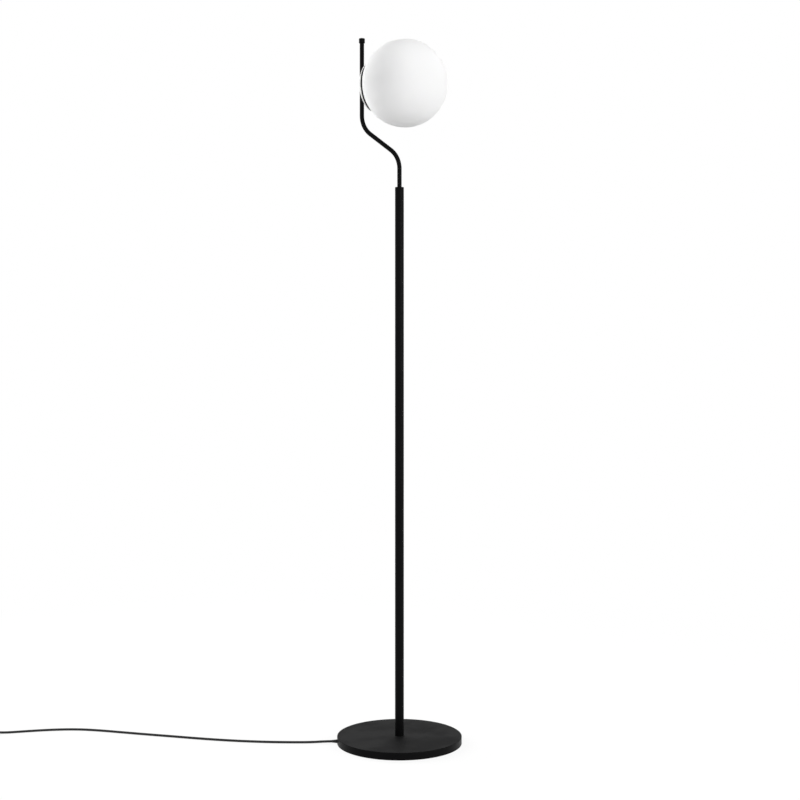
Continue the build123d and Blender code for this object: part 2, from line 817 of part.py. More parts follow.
def make_bulb_housing():
    """Housing between the cap and the dome, flaring to the bulb's width, with its deck."""
    neck = bulb_neck_radius
    spread = bulb_dome_x - bulb_shell_front
    wall = bulb_wall
    return turned_along_head([
        (bulb_shell_front, 0), (bulb_shell_front, neck), (bulb_shell_front + 0.25 * spread, neck + 1.5),
        (bulb_shell_front + 0.6 * spread, bulb_radius - 6.0), (bulb_dome_x, bulb_radius),
        (bulb_dome_x, bulb_radius - wall), (bulb_dome_x - 2, bulb_radius - wall - 0.6),
        (bulb_dome_x - 2, 0)])


def make_bulb_dome():
    """Opal half-sphere of the bulb."""
    ball = Pos(bulb_dome_x, 0, head_z) * (Sphere(bulb_radius) - Sphere(bulb_radius - bulb_wall))
    return ball - head_cylinder(bulb_radius + 1, bulb_dome_x - bulb_radius - 1, bulb_dome_x)


keep("bulb_tip", make_bulb_tip())
keep("bulb_shell", make_bulb_shell())
keep("bulb_housing", make_bulb_housing())
keep("bulb_dome", make_bulb_dome())

# ---------------------------------------------------------------- cord on the floor
# Points are (along, aside, height): along the outlet's heading from the lamp's axis.
lying = cord_radius + 0.05
switch_wall = 2.0
switch_relief_rubber = 1.2
switch_relief_flange = 0.8
switch_relief_radius = cord_radius + switch_relief_rubber
switch_axis_height = switch_wall + moving_gap + switch_relief_flange + switch_relief_radius
run_points = [
    (relief_outer, 0, relief_height), (relief_outer + 14, 0, relief_height), (200, -0.2, lying),
    (243, -1.2, lying), (302, -6, lying),
    (373, -18, lying), (443, -36, lying), (510, -57, lying), (576, -77, lying), (638, -97, lying),
    (697, -116.5, lying), (749, -127.5, lying), (805, -125.5, lying), (863, -114, lying),
    (912, -102.4, lying), (938, -96.2, switch_axis_height), (951, -93.1, switch_axis_height)]
keep("cord_run", on_cord_heading(laid_tube("cord_run", run_points, cord_radius)))

# ---------------------------------------------------------------- foot switch in the cord
switch_length = 84.0
switch_width = 38.0
switch_height = 22.0
switch_parting = switch_axis_height
button_radius = 12.0
button_proud = 4.0
button_travel = 3.0
switch_relief_length = 20.0
switch_edge_round = 6.0
switch_screw_spread = 56.0
switch_screw_radius = 1.5
contacts_high = 8.0
spring_radius = 4.0
spring_wire = 0.8

arrival = Vector(*run_points[-1]) - Vector(*run_points[-2])
switch_turn = math.degrees(math.atan2(arrival.Y, arrival.X))
reach = switch_length / 2 + switch_relief_length
switch_along = run_points[-1][0] + reach * math.cos(math.radians(switch_turn))
switch_aside = run_points[-1][1] + reach * math.sin(math.radians(switch_turn))


def at_switch(shape):
    """Place a shape drawn about the switch's own middle, cord along X."""
    return on_cord_heading(Pos(switch_along, switch_aside, 0) * Rot(0, 0, switch_turn) * shape)


def switch_outline(inset, low, high):
    """Round-ended body of the switch between two heights."""
    width = switch_width - 2 * inset
    slot = SlotOverall(switch_length - 2 * inset, width)
    return Pos(0, 0, low) * extrude(slot, high - low)


def relief_holes(radius):
    """Holes for the two reliefs, on the parting line."""
    return Pos(0, 0, switch_axis_height) * Rot(0, 90, 0) * Cylinder(radius, switch_length + 20)


def make_switch_base():
    """Tray of the switch, with its screw holes."""
    tray = switch_outline(0, 0, switch_parting)
    low_rim = tray.edges().group_by(Axis.Z)[0]
    tray = chamfer(low_rim, 1.0)
    tray -= switch_outline(switch_wall, switch_wall, switch_parting + 1)
    for side in (-1, 1):
        tray += upright_cylinder(3.2, switch_wall - 0.5, switch_parting, side * switch_screw_spread / 2)
        tray -= upright_cylinder(switch_screw_radius + screw_gap, -1, switch_parting + 1,
                                 side * switch_screw_spread / 2)
        tray -= upright_cylinder(2.8, -1, 1.6, side * switch_screw_spread / 2)
    return at_switch(tray - relief_holes(switch_relief_radius - 0.5))


def make_switch_top():
    """Upper shell of the switch, rounded above, open for the button."""
    shell = switch_outline(0, switch_parting, switch_height)
    high_rim = shell.edges().group_by(Axis.Z)[-1]
    shell = fillet(high_rim, switch_edge_round)
    inner = switch_outline(switch_wall, switch_parting - 1, switch_height - switch_wall)
    inner_rim = inner.edges().group_by(Axis.Z)[-1]
    shell -= fillet(inner_rim, switch_edge_round - switch_wall)
    shell -= upright_cylinder(button_radius + moving_gap, switch_parting, switch_height + 1)
    for side in (-1, 1):
        post = upright_cylinder(3.2, switch_parting, switch_height - switch_wall + 0.2,
                                side * switch_screw_spread / 2)
        post -= upright_cylinder(switch_screw_radius + screw_gap, switch_parting - 1,
                                 switch_parting + 8, side * switch_screw_spread / 2)
        shell += post
    return at_switch(shell - relief_holes(switch_relief_radius - 0.5))


def make_switch_button():
    """Round button with a crowned top and a flange that holds it in the shell."""
    flange_high = switch_height - switch_wall - 0.2
    flange_low = flange_high - 2.0
    crown = switch_height + button_proud
    button = turned_upright([
        (0, crown), (button_radius - 4, crown - 0.5), (button_radius - 1, crown - 1.8),
        (button_radius, crown - 3.2), (button_radius, flange_high), (button_radius + 2, flange_high),
        (button_radius + 2, flange_low), (button_radius - 2, flange_low),
        (button_radius - 2, crown - 5), (0, crown - 5)])
    return at_switch(button)


def make_switch_contacts():
    """Contact block on the floor of the tray."""
    body = block(-11, 11, -8, 8, switch_wall, contacts_high)
    for side in (-1, 1):
        body += block(side * 15 - 4, side * 15 + 4, -5, 5, switch_wall, contacts_high - 2)
    return at_switch(body)


def make_switch_spring():
    """Space of the return spring between the contact block and the button."""
    high = switch_height + button_proud - 5
    return at_switch(upright_ring(spring_radius - spring_wire, spring_radius, contacts_high, high))


def make_switch_relief(side):
    """Tapered relief at one end: flange inside the shell, taper outside."""
    end = switch_length / 2
    flange = switch_relief_radius + switch_relief_flange
    profile = [(end - switch_wall - 3.2, 0), (end - switch_wall - 3.2, flange),
               (end - switch_wall - 0.9, flange),
               (end - switch_wall - 0.9, switch_relief_radius - 0.6),
               (end + 0.1, switch_relief_radius - 0.6), (end + 0.1, switch_relief_radius)]
    tip = end + switch_relief_length
    profile += ribbed_taper((end + 2, switch_relief_radius), (tip, relief_tip_radius), 7)
    profile.append((tip, 0))
    solid = Pos(0, 0, switch_axis_height) * turned_about_x(profile)
    return at_switch(Rot(0, 0, 0 if side > 0 else 180) * solid)


def make_switch_screw(side):
    """Screw from below into the upper shell's post."""
    screw = upright_cylinder(switch_screw_radius, 0.5, switch_parting + 7)
    screw += upright_cylinder(2.6, 0.4, 1.5)
    screw -= cross_recess(0.7, 3.2, 0.8, 0.4)
    return at_switch(Pos(side * switch_screw_spread / 2, 0, 0) * screw)


keep("switch_base", make_switch_base())
keep("switch_top", make_switch_top())
keep("switch_button", make_switch_button())
keep("switch_contacts", make_switch_contacts())
keep("switch_spring", make_switch_spring())
keep("switch_reliefs", make_switch_relief(-1), make_switch_relief(1))
keep("switch_screws", make_switch_screw(-1), make_switch_screw(1))

# ---------------------------------------------------------------- put-away length: tail, coil, end
plug_thickness = 13.7
coil_gap = 0.5
coil_outer_turn = 38.0
coil_turns_each_way = 2.75
coil_climb_turns = 0.5
tie_thickness = 0.7
tie_width = 9.0
tie_gap = 0.2
coil_lift = tie_thickness + tie_gap

coil_pitch = cord_diameter + coil_gap
coil_low = coil_lift + cord_radius
coil_high = coil_low + coil_pitch
coil_turns = 2 * coil_turns_each_way
coil_inner_turn = coil_outer_turn - coil_turns_each_way * coil_pitch
tail_start = (switch_along + reach * math.cos(math.radians(switch_turn)),
              switch_aside + reach * math.sin(math.radians(switch_turn)))
coil_centre = (tail_start[0] + 69.0, tail_start[1] + 8.0 - coil_outer_turn)
coil_start = (coil_centre[0] - cord_diameter, coil_centre[1] + coil_outer_turn)
coil_end = (coil_centre[0] - cord_diameter, coil_centre[1] - coil_outer_turn)


def coil_point(turn):
    """Point of the coil's line after this many turns from its start."""
    past_middle = turn - coil_turns_each_way
    share = min(max(past_middle / coil_climb_turns + 0.5, 0), 1)
    radius = coil_inner_turn + coil_pitch * abs(past_middle)
    height = coil_low + coil_pitch * share * share * (3 - 2 * share)
    angle = math.radians(90 - 360 * turn)
    return Vector(coil_centre[0] + radius * math.cos(angle),
                  coil_centre[1] + radius * math.sin(angle), height)


def coil_direction(turn):
    """Direction of the coil's line: square to its radius at the two ends, measured elsewhere."""
    if turn in (0, coil_turns):
        angle = math.radians(90 - 360 * turn)
        return Vector(math.sin(angle), -math.cos(angle), 0)
    return (coil_point(turn + 0.01) - coil_point(turn - 0.01)).normalized()


def biarc(start, start_way, end, end_way):
    """Two arcs that leave start along its way and reach end along its way."""
    across = end - start
    both = start_way + end_way
    bend = 2 * (1 - start_way.dot(end_way))
    along = across.dot(both)
    reach_out = (math.sqrt(along * along + bend * across.dot(across)) - along) / bend
    joint = (start + start_way * reach_out + end - end_way * reach_out) * 0.5
    first = TangentArc(start, joint, tangent=start_way)
    second = TangentArc(joint, end, tangent=first % 1)
    return [first, second]


def make_cord_coil():
    """The coil: one tube, in on the lower layer, up, and out on the upper layer."""
    steps = [quarter / 4 for quarter in range(round(coil_turns * 4) + 1)]
    edges = [Line((*coil_start, coil_low), coil_point(0))]
    for here, there in zip(steps, steps[1:]):
        edges += biarc(coil_point(here), coil_direction(here), coil_point(there), coil_direction(there))
    edges.append(Line(coil_point(coil_turns), (*coil_end, coil_high)))
    path = Wire(edges)
    solid = tube_along(path, cord_radius)
    expected = math.pi * cord_radius ** 2 * path.length
    print("cord_coil length", round(path.length, 1), "turns", coil_turns,
          "volume over section x length", round(solid.volume / expected, 4),
          "least gap to itself", round(coil_self_gap(path), 2))
    return on_cord_heading(solid)


def coil_self_gap(path):
    """Least gap between the coil's own turns, on points every 2 mm or so."""
    count = int(path.length / 2)
    points = [path @ (index / count) for index in range(count + 1)]
    step = path.length / count
    apart = int(4 * cord_diameter / step)
    least = min((points[i] - points[j]).length
                for i in range(len(points)) for j in range(i + apart, len(points)))
    return least - cord_diameter


def make_coil_tie():
    """Strap round all turns of the coil at one place."""
    inner_side = coil_inner_turn - cord_radius - 2.2
    outer_side = coil_outer_turn + cord_radius + 0.6
    low = coil_lift - tie_gap
    high = coil_high + cord_radius + tie_gap
    loop = block(inner_side - tie_thickness, outer_side + tie_thickness, -tie_width / 2, tie_width / 2,
                 low - tie_thickness + 0.05, high + tie_thickness)
    loop = fillet(loop.edges().filter_by(Axis.Y), 2.5)
    hollow = block(inner_side, outer_side, -tie_width, tie_width, low, high)
    loop -= fillet(hollow.edges().filter_by(Axis.Y), 1.8)
    return on_cord_heading(Pos(*coil_centre, 0) * loop)


tail_points = [
    (*tail_start, switch_axis_height),
    (tail_start[0] + 13.5, tail_start[1] + 13.5 * math.tan(math.radians(switch_turn)),
     switch_axis_height),
    (coil_start[0] - 22, coil_start[1], coil_low), (*coil_start, coil_low)]
plug_turn = 185.0
plug_axis_height = plug_thickness / 2
plug_lead = 14.0
end_points = [
    (*coil_end, coil_high), (coil_end[0] - 13, coil_end[1], coil_high),
    (coil_end[0] - 33, coil_end[1] - 1.2, plug_axis_height),
    (coil_end[0] - 33 + plug_lead * math.cos(math.radians(plug_turn)),
     coil_end[1] - 1.2 + plug_lead * math.sin(math.radians(plug_turn)), plug_axis_height)]
keep("cord_tail", on_cord_heading(laid_tube("cord_tail", tail_points, cord_radius)))
keep("cord_coil", make_cord_coil())
keep("coil_tie", make_coil_tie())
keep("cord_end", on_cord_heading(laid_tube("cord_end", end_points, cord_radius)))

# ---------------------------------------------------------------- plug
plug_relief_length = 24.0
plug_body_length = 34.0
plug_width = 35.0
plug_nose_width = 26.0
pin_spacing = 18.6
pin_radius = 2.0
pin_length = 19.0


def at_plug(shape):
    """Place a shape drawn with the cord's end at the origin and the pins along +X."""
    return on_cord_heading(Pos(*end_points[-1]) * Rot(0, 0, plug_turn) * shape)


def make_plug_body():
    """Moulded plug: tapered relief, then a flat body that narrows to its pin face."""
    start = plug_relief_length
    profile = [(0, 0)] + ribbed_taper((0, relief_tip_radius), (start - 2, 4.8), 8)
    relief = turned_about_x(profile + [(start, 5.0), (start + 3, 5.6), (start + 3, 0)])
    end = start + plug_body_length
    half = plug_width / 2
    nose = plug_nose_width / 2
    outline = Polyline((start, -8), (start + 6, -half), (start + 16, -half), (end, -nose),
                       (end, nose), (start + 16, half), (start + 6, half), (start, 8), close=True)
    body = extrude(make_face(outline), plug_thickness / 2, both=True)
    body = fillet(body.edges().filter_by(Axis.Z), 2.5)
    flats = body.edges().group_by(Axis.Z)
    body = fillet(flats[0] + flats[-1], 2.0)
    for side in (-1, 1):
        body -= Pos(end, side * pin_spacing / 2, 0) * Rot(0, 90, 0) * Cylinder(pin_radius + 0.02, 16)
    return at_plug(body + relief)


def make_plug_pin(side):
    """One round pin, held 7.9 mm deep in the body."""
    held = 7.9
    pin = Rot(0, 90, 0) * Cylinder(pin_radius, pin_length + held)
    pin = fillet(pin.edges().filter_by(GeomType.CIRCLE).sort_by(Axis.X)[-1], 1.2)
    end = plug_relief_length + plug_body_length
    return at_plug(Pos(end + (pin_length - held) / 2, side * pin_spacing / 2, 0) * pin)


keep("plug_body", make_plug_body())
keep("plug_pins", make_plug_pin(-1), make_plug_pin(1))

# ---------------------------------------------------------------- write every sub-part
os.makedirs("parts", exist_ok=True)
for name, shape in made.items():
    export_step(shape, os.path.join("parts", name + ".step"))
print("nodes", len(made), "globe centre x", round(globe_x, 2), "bulb end", round(bulb_end, 2))
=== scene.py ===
import json
import math

import bpy
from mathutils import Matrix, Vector


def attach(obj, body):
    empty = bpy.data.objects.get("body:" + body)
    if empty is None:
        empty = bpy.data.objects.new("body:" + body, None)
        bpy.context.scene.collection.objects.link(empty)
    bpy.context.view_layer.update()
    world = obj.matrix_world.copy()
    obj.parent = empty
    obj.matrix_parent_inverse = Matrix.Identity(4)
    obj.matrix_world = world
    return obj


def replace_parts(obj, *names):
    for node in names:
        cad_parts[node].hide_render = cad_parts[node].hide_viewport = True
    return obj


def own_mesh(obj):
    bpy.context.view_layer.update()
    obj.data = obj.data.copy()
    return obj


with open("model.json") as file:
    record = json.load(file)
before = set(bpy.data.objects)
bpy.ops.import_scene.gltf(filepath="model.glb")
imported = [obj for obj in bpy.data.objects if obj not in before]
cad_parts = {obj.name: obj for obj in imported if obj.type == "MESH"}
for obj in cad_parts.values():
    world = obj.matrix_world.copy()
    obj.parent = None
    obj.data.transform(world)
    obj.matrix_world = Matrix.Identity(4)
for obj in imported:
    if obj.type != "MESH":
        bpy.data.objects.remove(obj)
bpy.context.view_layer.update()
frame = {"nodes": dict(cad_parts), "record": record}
print("frame loaded:", len(frame["nodes"]), "nodes")


# shader wiring: a socket that adds, multiplies and so on, and a look that holds one material

class Wire:
    def __init__(self, look, socket):
        self.look = look
        self.socket = socket

    def maths(self, operation, *values):
        return self.look.add("ShaderNodeMath", {"operation": operation}, dict(enumerate(values)))

    def __add__(self, other):
        return self.maths("ADD", self, other)

    def __radd__(self, other):
        return self.maths("ADD", other, self)

    def __sub__(self, other):
        return self.maths("SUBTRACT", self, other)

    def __rsub__(self, other):
        return self.maths("SUBTRACT", other, self)

    def __mul__(self, other):
        return self.maths("MULTIPLY", self, other)

    def __rmul__(self, other):
        return self.maths("MULTIPLY", other, self)

    def top(self, other):
        return self.maths("MAXIMUM", self, other)

    def band(self, low, high):
        # 0 below low, 1 above high, smooth between them
        return self.look.add("ShaderNodeMapRange", {"interpolation_type": "SMOOTHSTEP"},
                             {"Value": self, "From Min": low, "From Max": high})


class Nodes:
    def __init__(self, tree):
        self.tree = tree

    def add(self, kind, settings=None, inputs=None, output=0):
        node = self.tree.nodes.new(kind)
        for name, value in (settings or {}).items():
            setattr(node, name, value)
        for name, value in (inputs or {}).items():
            self.feed(node.inputs[name], value)
        return Wire(self, node.outputs[output])

    def feed(self, socket, value):
        if isinstance(value, Wire):
            self.tree.links.new(value.socket, socket)
        else:
            socket.default_value = value

    def seenRays(self):
        # 1 for the camera's rays and for those that metal and glass send on
        straight, mirrored, through = [self.add("ShaderNodeLightPath", {}, {}, "Is " + kind + " Ray")
                                       for kind in ("Camera", "Glossy", "Transmission")]
        return straight.top(mirrored).top(through)


class Look(Nodes):
    def __init__(self, name, **fixed):
        self.material = bpy.data.materials.new(name)
        self.material.use_nodes = True
        super().__init__(self.material.node_tree)
        self.shader = self.tree.nodes["Principled BSDF"]
        for socket, value in fixed.items():
            self.shader.inputs[socket.replace("_", " ")].default_value = value
        self.place = self.add("ShaderNodeTexCoord", {}, {}, "Object")

    def grain(self, scale, detail=2.0, rough=0.5, place=None):
        return self.add("ShaderNodeTexNoise", {}, {"Vector": place or self.place, "Scale": scale,
                                                   "Detail": detail, "Roughness": rough})

    def cells(self, scale):
        return self.add("ShaderNodeTexVoronoi", {}, {"Vector": self.place, "Scale": scale})

    def stretched(self, along):
        return self.add("ShaderNodeVectorMath", {"operation": "MULTIPLY"}, {0: self.place, 1: along})

    def facing(self, letter):
        # share of the surface's direction along one of the piece's own axes
        normal = self.add("ShaderNodeTexCoord", {}, {}, "Normal")
        return self.add("ShaderNodeSeparateXYZ", {}, {0: normal}, letter)

    def blend(self, mask, first, second):
        # colours as three numbers or wires
        first = first if isinstance(first, Wire) else (*first, 1)
        second = second if isinstance(second, Wire) else (*second, 1)
        return self.add("ShaderNodeMix", {"data_type": "RGBA"}, {0: mask, 6: first, 7: second}, 2)

    def bump(self, height, depth, strength):
        return self.add("ShaderNodeBump", {}, {"Strength": strength, "Distance": depth, "Height": height})

    def wear(self, **varied):
        for socket, wire in varied.items():
            self.feed(self.shader.inputs[socket.replace("_", " ")], wire)
        return self.material


# camera, at the photograph's place: level, 0.77 m above the floor

camera = {"turn": 26.0, "distance": 2.743, "height": 0.7708, "aside": 0.00124, "lens": 54.86}


def placeCamera(view):
    turn = math.radians(view["turn"])
    data = bpy.data.cameras.new("camera")
    data.sensor_width = 36.0
    data.lens = view["lens"]
    data.clip_end = 100.0
    eye = bpy.data.objects.new("camera", data)
    eye.location = (math.sin(turn) * view["distance"] + math.cos(turn) * view["aside"],
                    -math.cos(turn) * view["distance"] + math.sin(turn) * view["aside"], view["height"])
    eye.rotation_euler = (math.radians(90), 0, turn)
    bpy.context.scene.collection.objects.link(eye)
    bpy.context.scene.camera = eye


placeCamera(camera)
print("camera placed")

# cords: routes are (along the cord's heading, aside, height) in millimetres

cordRoute = {"heading": 208.0, "across": 5.4, "switchAxis": 7.0}
runPoints = [
    (152, 0, 4.4), (166, 0, 4.4), (200, -0.2, 2.75), (243, -1.2, 2.75), (302, -6, 2.75),
    (373, -18, 2.75), (443, -36, 2.75), (510, -57, 2.75), (576, -77, 2.75), (638, -97, 2.75),
    (697, -116.5, 2.75), (749, -127.5, 2.75), (805, -125.5, 2.75), (863, -114, 2.75),
    (912, -102.4, 2.75), (938, -96.2, 7.0), (951, -93.1, 7.0)]
footSwitch = {"length": 84.0, "relief": 20.0}
coil = {"outer": 38.0, "turnsEachWay": 2.75, "climb": 0.5, "pitch": 5.9, "low": 3.6, "points": 16,
        "ahead": 69, "aside": 8, "leadIn": 22}
plugLead = {"straight": 13.5, "nearStep": 13, "farStep": 33, "drop": 1.2, "height": 6.85,
            "entry": (13.946, 1.22)}


def onFloor(point):
    turn = math.radians(cordRoute["heading"])
    along, aside, height = point
    return Vector((along * math.cos(turn) - aside * math.sin(turn),
                   along * math.sin(turn) + aside * math.cos(turn), height)) / 1000


def coilPoint(turn, centre):
    pastMiddle = turn - coil["turnsEachWay"]
    share = min(max(pastMiddle / coil["climb"] + 0.5, 0), 1)
    radius = coil["outer"] - coil["pitch"] * (coil["turnsEachWay"] - abs(pastMiddle))
    radius = radius / (0.75 + 0.25 * math.cos(2 * math.pi / coil["points"]))  # the spline cuts inside
    angle = math.radians(90 - 360 * turn)
    return (centre[0] + radius * math.cos(angle), centre[1] + radius * math.sin(angle),
            coil["low"] + coil["pitch"] * share * share * (3 - 2 * share))


def coilMiddle(start):
    return start[0] + coil["ahead"], start[1] + coil["aside"] - coil["outer"]


def farRoute():
    # from the switch's far relief through the coil to the plug
    (x0, y0, _), (x1, y1, _) = runPoints[-2:]
    turn = math.atan2(y1 - y0, x1 - x0)
    reach = footSwitch["length"] + 2 * footSwitch["relief"]
    start = (x1 + reach * math.cos(turn), y1 + reach * math.sin(turn))
    centre = coilMiddle(start)
    inX = centre[0] - cordRoute["across"]
    inY, outY = centre[1] + coil["outer"], centre[1] - coil["outer"]
    low, high = coil["low"], coil["low"] + coil["pitch"]
    axis, straight = cordRoute["switchAxis"], plugLead["straight"]
    points = [(*start, axis), (start[0] + straight, start[1] + straight * math.tan(turn), axis),
              (inX - coil["leadIn"], inY, low), (inX, inY, low)]
    steps = round(2 * coil["turnsEachWay"] * coil["points"])
    points += [coilPoint((step + 0.5) / coil["points"], centre) for step in range(steps)]
    farX, farY = inX - plugLead["farStep"], outY - plugLead["drop"]
    points += [(inX, outY, high), (inX - plugLead["nearStep"], outY, high), (farX, farY, plugLead["height"]),
               (farX - plugLead["entry"][0], farY - plugLead["entry"][1], plugLead["height"])]
    return points


def layCord(name, points, across=cordRoute["across"], body="stand", finish="black_cord"):
    data = bpy.data.curves.new(name, "CURVE")
    data.dimensions = "3D"
    data.bevel_depth = 1.0  # the points carry the radius, so the bounds end at the surface
    data.bevel_resolution = 6
    data.use_fill_caps = True
    spline = data.splines.new("NURBS")
    spline.points.add(len(points) - 1)
    for control, point in zip(spline.points, points):
        control.co = (*point, 1)
        control.radius = across / 2000
    spline.order_u = 3
    spline.use_endpoint_u = True
    spline.resolution_u = 8
    cord = bpy.data.objects.new(name, data)
    bpy.context.scene.collection.objects.link(cord)
    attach(cord, body)
    dressed.append((cord, finish))
    return cord


nodes = frame["nodes"]
dressed = []
mainCord = layCord("mainCord", [onFloor(point) for point in runPoints])
farPoints = farRoute()
farCord = layCord("farCord", [onFloor(point) for point in farPoints])
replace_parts(mainCord, "cord_run")
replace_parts(farCord, "cord_tail", "cord_coil", "cord_end")
onFloor(runPoints[0])
onFloor(farPoints[0])
print("cords laid")

# the cord inside the base, and the flex and its cores up the lamp

leadPoints = [(128, 0, 4.4), (119, 0, 4.4), (103, 0.1, 7.8), (84, 0.3, 7.8), (72, 0.3, 7.8)]
postFlexPoints = [(0, 0, 12), (0, 0, 400), (0, 0, 800), (0, 0, 1172.5)]
armFlexPoints = [(0, 0, 1172.6), (0, 0, 1278.1), (0, 0, 1303.9), (-11.3, 0, 1327.2), (-31.7, 0, 1343.1),
                 (-63.7, 0, 1368.1), (-84.1, 0, 1384), (-95.4, 0, 1407.2), (-95.4, 0, 1433.1),
                 (-95.4, 0, 1469.3)]
baseCorePoints = [(48, 4.3), (4.24, 4.3), (1.24, 4.3), (0, 5.54), (0, 8.54), (0, 12)]
headCorePoints = [(-95.4, 1469.3), (-95.4, 1472.8), (-95.4, 1477.8), (-91.9, 1481.3), (-86.9, 1481.3),
                  (-60.7, 1481.3)]
flex = {"across": 4.6, "core": 1.8, "aside": 1.1}


def straightUp(points):
    return [Vector(point) / 1000 for point in points]


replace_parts(layCord("leadInBase", [onFloor(point) for point in leadPoints]), "base_lead")
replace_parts(layCord("flexInPost", straightUp(postFlexPoints), flex["across"], "stand", "flex_sheath"),
            "post_flex")
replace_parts(layCord("flexInArm", straightUp(armFlexPoints), flex["across"], "arm", "flex_sheath"),
            "arm_flex")
for side, y in (("Left", -flex["aside"]), ("Right", flex["aside"])):
    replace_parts(layCord("baseCore" + side, [onFloor((x, y, z)) for x, z in baseCorePoints],
                        flex["core"], "stand", "core_insulation"), "base_cores")
    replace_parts(layCord("headCore" + side, straightUp([(x, y, z) for x, z in headCorePoints]),
                        flex["core"], "arm", "core_insulation"), "head_cores")
print("inner flex laid")

# soft pieces: foam ring, coil strap and the switch's spring, each as a mesh

foamRing = {"inner": 60.0, "outer": 113.0, "high": 2.0, "round": 0.35, "bevel": 0.1, "around": 144}
strap = {"inner": 16.9, "outer": 41.3, "low": 0.7, "high": 12.4, "corner": 2.1, "cornerSteps": 8,
         "sheet": 0.32, "width": 8.8, "overlap": 0.42, "lapGap": 0.02, "lapNarrower": 0.3}
spring = {"low": 8.0, "high": 21.0, "mean": 3.6, "wire": 0.4, "turns": 7.0, "travel": 3.0,
          "around": 28, "sides": 10}


def makeMesh(name, points, faces, smooth=True):
    mesh = bpy.data.meshes.new(name)
    mesh.from_pydata([tuple(point) for point in points], [], faces)
    mesh.update()
    if smooth:
        mesh.shade_smooth()
    piece = bpy.data.objects.new(name, mesh)
    bpy.context.scene.collection.objects.link(piece)
    return piece


def gridFaces(rows, columns, closedRows, closedColumns):
    # quads over a grid of points stored row by row
    faces = []
    for row in range(rows if closedRows else rows - 1):
        for column in range(columns if closedColumns else columns - 1):
            after, beside = (row + 1) % rows, (column + 1) % columns
            faces.append((row * columns + column, row * columns + beside,
                          after * columns + beside, after * columns + column))
    return faces


def makeFoamRing(plan):
    r, b, inner, outer, top = [plan[key] for key in ("round", "bevel", "inner", "outer", "high")]
    profile = [(inner + r, 0), (outer - r, 0), (outer - b, b), (outer, r), (outer, top - r),
               (outer - b, top - b), (outer - r, top), (inner + r, top), (inner + b, top - b),
               (inner, top - r), (inner, r), (inner + b, b)]
    points = []
    for step in range(plan["around"]):
        turn = 2 * math.pi * step / plan["around"]
        for radius, height in profile:
            points.append(Vector((radius * math.cos(turn), radius * math.sin(turn), height)) / 1000)
    return makeMesh("foamRing", points, gridFaces(plan["around"], len(profile), True, True))


def strapPath(plan, grow):
    # rounded loop in the strap's own plane, from the middle of its outer side
    corner = plan["corner"] + grow
    x0, x1 = plan["inner"] - grow, plan["outer"] + grow
    z0, z1 = plan["low"] - grow, plan["high"] + grow
    path = [(x1, (z0 + z1) / 2)]
    for cx, cz, start in ((x1 - corner, z1 - corner, 0), (x0 + corner, z1 - corner, 90),
                          (x0 + corner, z0 + corner, 180), (x1 - corner, z0 + corner, 270)):
        for step in range(plan["cornerSteps"] + 1):
            angle = math.radians(start + 90 * step / plan["cornerSteps"])
            path.append((cx + corner * math.cos(angle), cz + corner * math.sin(angle)))
    return path


def bandOf(inside, outside, width, closed):
    # closed band of four faces between two runs of (x, z) points
    points = []
    for (xi, zi), (xo, zo) in zip(inside, outside):
        points += [(xi, -width / 2, zi), (xi, width / 2, zi), (xo, width / 2, zo), (xo, -width / 2, zo)]
    faces = gridFaces(len(inside), 4, closed, True)
    if not closed:
        last = len(points) - 4
        faces += [(3, 2, 1, 0), (last, last + 1, last + 2, last + 3)]
    return points, faces


def makeStrap(plan, centre):
    sheet = plan["sheet"]
    points, faces = bandOf(strapPath(plan, 0), strapPath(plan, sheet), plan["width"], True)
    count = round(len(strapPath(plan, 0)) * plan["overlap"])
    lap = strapPath(plan, sheet + plan["lapGap"])[:count]
    over, overFaces = bandOf(lap, strapPath(plan, 2 * sheet)[:count], plan["width"] - plan["lapNarrower"],
                             False)
    faces += [tuple(index + len(points) for index in face) for face in overFaces]
    placed = [onFloor((centre[0] + x, centre[1] + y, z)) for x, y, z in points + over]
    return makeMesh("coilStrap", placed, faces, False)


def makeSpring(plan, centre):
    points = []
    sides = plan["sides"]
    count = round(plan["turns"] * plan["around"])
    foot, head = plan["low"] + plan["wire"], plan["high"] - plan["wire"]
    for step in range(count + 1):
        share = step / count
        height = foot + (head - foot) * share
        turn = 2 * math.pi * plan["turns"] * share
        for side in range(sides):
            angle = 2 * math.pi * side / sides
            radius = plan["mean"] + plan["wire"] * math.cos(angle)
            points.append(onFloor((centre[0] + radius * math.cos(turn), centre[1] + radius * math.sin(turn),
                                   height + plan["wire"] * math.sin(angle))))
    faces = gridFaces(count + 1, sides, False, True)
    faces += [tuple(range(sides - 1, -1, -1)), tuple(range(count * sides, count * sides + sides))]
    return makeMesh("switchSpring", points, faces)


def switchMiddle():
    (x0, y0, _), (x1, y1, _) = runPoints[-2:]
    turn = math.atan2(y1 - y0, x1 - x0)
    reach = footSwitch["length"] / 2 + footSwitch["relief"]
    return x1 + reach * math.cos(turn), y1 + reach * math.sin(turn)


def giveOver(piece, node, finish):
    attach(piece, "stand")
    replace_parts(piece, node)
    dressed.append((piece, finish))
    return piece


giveOver(makeFoamRing(foamRing), "base_pad", "pad_foam")
giveOver(makeStrap(strap, coilMiddle(farPoints[0])), "coil_tie", "tie_plastic")
springPiece = giveOver(makeSpring(spring, switchMiddle()), "switch_spring", "spring_steel")
onFloor((*switchMiddle(), spring["low"]))
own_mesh(springPiece)
print("soft pieces made")

# light and floor

# the floor shows a share of its real shade near the lamp, and plain white further out
light = {"ambient": 0.17, "floorBounce": 0.49, "floorShade": 0.13, "shadeInner": 0.6, "shadeOuter": 2.2,
         "floorHalf": 40.0}
